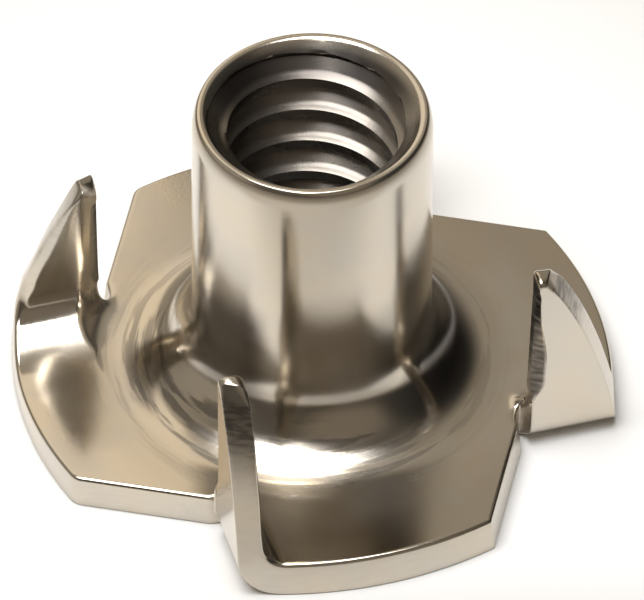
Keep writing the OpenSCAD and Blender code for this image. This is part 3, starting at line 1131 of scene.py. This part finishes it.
skin_mesh = bpy.data.meshes.new("tee_nut_dressed")
skin_mesh.from_pydata(np.vstack(nut.points) * MM, [], nut.faces)
skin_mesh.attributes.new("torn", "FLOAT", "POINT").data.foreach_set("value", np.concatenate(nut.torn))
weld = bmesh.new()
weld.from_mesh(skin_mesh)
bmesh.ops.remove_doubles(weld, verts=weld.verts, dist=WELD_GAP * MM)
bmesh.ops.dissolve_degenerate(weld, dist=SLIVER * MM, edges=weld.edges)
bmesh.ops.triangulate(weld, faces=[f for f in weld.faces if len(f.verts) > 4])
bmesh.ops.recalc_face_normals(weld, faces=weld.faces)

for place, along, inward, widest, narrowest, rounds in BLENDS:
    middle = Vector(spin(root + (along, inward), place)) * MM
    reaches = {v: (v.co.xy - middle).length / MM for v in weld.verts if v.co.z < BLEND_TOP * MM}
    for reach in np.linspace(widest, narrowest, rounds):
        near = [v for v, away in reaches.items() if away < reach]
        bmesh.ops.smooth_vert(weld, verts=near, factor=0.5, use_axis_x=True, use_axis_y=True, use_axis_z=True)
open_edges = [e for e in weld.edges if len(e.link_faces) != 2]
print("open edges", len(open_edges), "volume", round(weld.calc_volume(signed=True) / MM**3, 1), "mm3")
weld.to_mesh(skin_mesh)
weld.free()

# %% [markdown]
# Smooth shading hides the triangles, and the edges sharper than 30 degrees stay crisp. The dressed piece
# rides the frame's one body and takes the place of the plain one.

# %% Hand the piece over
SHARP_ANGLE = math.radians(30)
skin_mesh.materials.append(plated)
for polygon in skin_mesh.polygons:
    polygon.use_smooth = True
skin_mesh.set_sharp_from_angle(angle=SHARP_ANGLE)
piece = bpy.data.objects.new("tee_nut_dressed", skin_mesh)
bpy.context.scene.collection.objects.link(piece)
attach(piece, "root")
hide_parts("tee_nut")
print("triangles", sum(len(p.vertices) - 2 for p in skin_mesh.polygons))

# %% [markdown]
# ## The floor
#
# A metal part shows its room, and half of the room is the floor. It is paper, which gives the eye a matt
# white, even near the part. Painted shade darkens it at some distance, and a painted shadow darkens it sooner
# on the viewer's side, so that the barrel, which mirrors it, goes from white at its foot to grey above. Its
# fades are in millimetres.

# %% Floor
FLOOR_R, FLOOR_SIDES, FLOOR_DROP = 3.0, 96, 0.02
FAR_START, FAR_END = 11, 45
NEAR_START, NEAR_END, NEAR_FADE = 6, 14, 0.55
level_back = Vector((back.x, back.y, 0)).normalized()

floor_mesh = bpy.data.meshes.new("floor")
disc = bmesh.new()
bmesh.ops.create_circle(disc, cap_ends=True, segments=FLOOR_SIDES, radius=FLOOR_R)
disc.to_mesh(floor_mesh)
disc.free()
floor = bpy.data.objects.new("floor", floor_mesh)
floor.location.z = -FLOOR_DROP * MM
bpy.context.scene.collection.objects.link(floor)

paper, paper_tree = bare_material("white paper")
on_floor = add(paper_tree, "ShaderNodeTexCoord").outputs["Object"]
from_part = add(paper_tree, "ShaderNodeVectorMath", {0: on_floor}, operation="LENGTH").outputs["Value"]
to_viewer = add(paper_tree, "ShaderNodeVectorMath", {0: on_floor, 1: level_back}, operation="DOT_PRODUCT")
# Painted shade darkens the paper far from the part, and a painted shadow darkens it sooner on the viewer's
# side.
far = Field(from_part).ramp(FAR_START * MM, FAR_END * MM)
near = Field(to_viewer.outputs["Value"]).ramp(NEAR_START * MM, NEAR_END * MM, 0.0, NEAR_FADE)
paper_tone_and_painted_shade = add(paper_tree, "ShaderNodeMix", {
    "Factor": far.at_least(near), "A": linear("#f6f6f6"), "B": linear("#9c968d"),
}, data_type="RGBA").outputs[2]
paper_shader = add(paper_tree, "ShaderNodeBsdfDiffuse", {"Color": paper_tone_and_painted_shade})
add(paper_tree, "ShaderNodeOutputMaterial", {"Surface": paper_shader.outputs[0]})
floor_mesh.materials.append(paper)
print("the paper is", FLOOR_R, "m in radius")

# %% [markdown]
# ## The room
#
# The room is a dim grey with four soft patches in it: a wide pale one behind, a narrower one at the left, a
# faint one in front to the right, and a dark one on the right. The barrel mirrors them as its bright and
# dark stripes. A patch is mixed in by the angle from its middle, so its edge is as soft as is wanted.

# %% Room
room = bpy.data.worlds.new("studio")
bpy.context.scene.world = room
room.use_nodes = True
room_tree = room.node_tree
room_tree.nodes.clear()
room_way = add(room_tree, "ShaderNodeTexCoord").outputs["Generated"]


def way_to(azimuth, elevation):
    """A direction of the room. Azimuth is seen from above, from the viewer's side to the right."""
    azimuth, elevation = math.radians(azimuth), math.radians(elevation)
    level = level_back * math.cos(azimuth) + right * math.sin(azimuth)
    return level * math.cos(elevation) + Vector((0, 0, math.sin(elevation)))


PATCHES = (  # azimuth, elevation, outer and inner angle from its middle, and colour
    (-165, 42, 75, 20, "#a9a092"),
    (-85, 10, 42, 12, "#a89f92"),
    (26, 31, 38, 12, "#857c70"),
    (102, 4, 55, 34, "#3d3b38"),
)
light = linear("#5d574f")
for azimuth, elevation, outer, inner, colour in PATCHES:
    middle = way_to(azimuth, elevation).normalized()
    nearness = add(room_tree, "ShaderNodeVectorMath", {0: room_way, 1: middle}, operation="DOT_PRODUCT")
    outer, inner = math.cos(math.radians(outer)), math.cos(math.radians(inner))
    amount = Field(nearness.outputs["Value"]).ramp(outer, inner)
    inputs = {"Factor": amount, "A": light, "B": linear(colour)}
    light = add(room_tree, "ShaderNodeMix", inputs, data_type="RGBA").outputs[2]
background = add(room_tree, "ShaderNodeBackground", {"Color": light, "Strength": 1.0})
add(room_tree, "ShaderNodeOutputWorld", {"Surface": background.outputs[0]})
print("the room has", len(PATCHES), "patches")

# %% [markdown]
# ## The lamps
#
# One broad softbox hangs nearly overhead, a little to the front left, and gives the shadow its soft edge. A
# small warm card stands behind on the left and puts a light line on what faces it. Both are hidden from
# the camera. Sizes and distances are in metres and powers in watts.

# %% Soft lights
def soft_light(name, azimuth, elevation, away, width, depth, power):
    """A soft box that faces the part."""
    direction = way_to(azimuth, elevation)
    data = bpy.data.lights.new(name, "AREA")
    data.shape, data.size, data.size_y, data.energy = "RECTANGLE", width, depth, power
    lamp = bpy.data.objects.new(name, data)
    side = Vector((0, 0, 1)).cross(direction).normalized()
    turn = Matrix((side, direction.cross(side), direction)).transposed().to_4x4()
    lamp.matrix_world = Matrix.Translation(direction * away) @ turn
    lamp.visible_camera = False
    bpy.context.scene.collection.objects.link(lamp)
    return lamp


soft_light("overhead softbox", -40, 77, away=0.11, width=0.075, depth=0.078, power=0.14)
card = soft_light("card behind to the left", -150, 38, away=0.07, width=0.048, depth=0.06, power=0.0062)
card.data.color = linear("#fff1dc")[:3]
bpy.context.scene.view_settings.view_transform = "Standard"
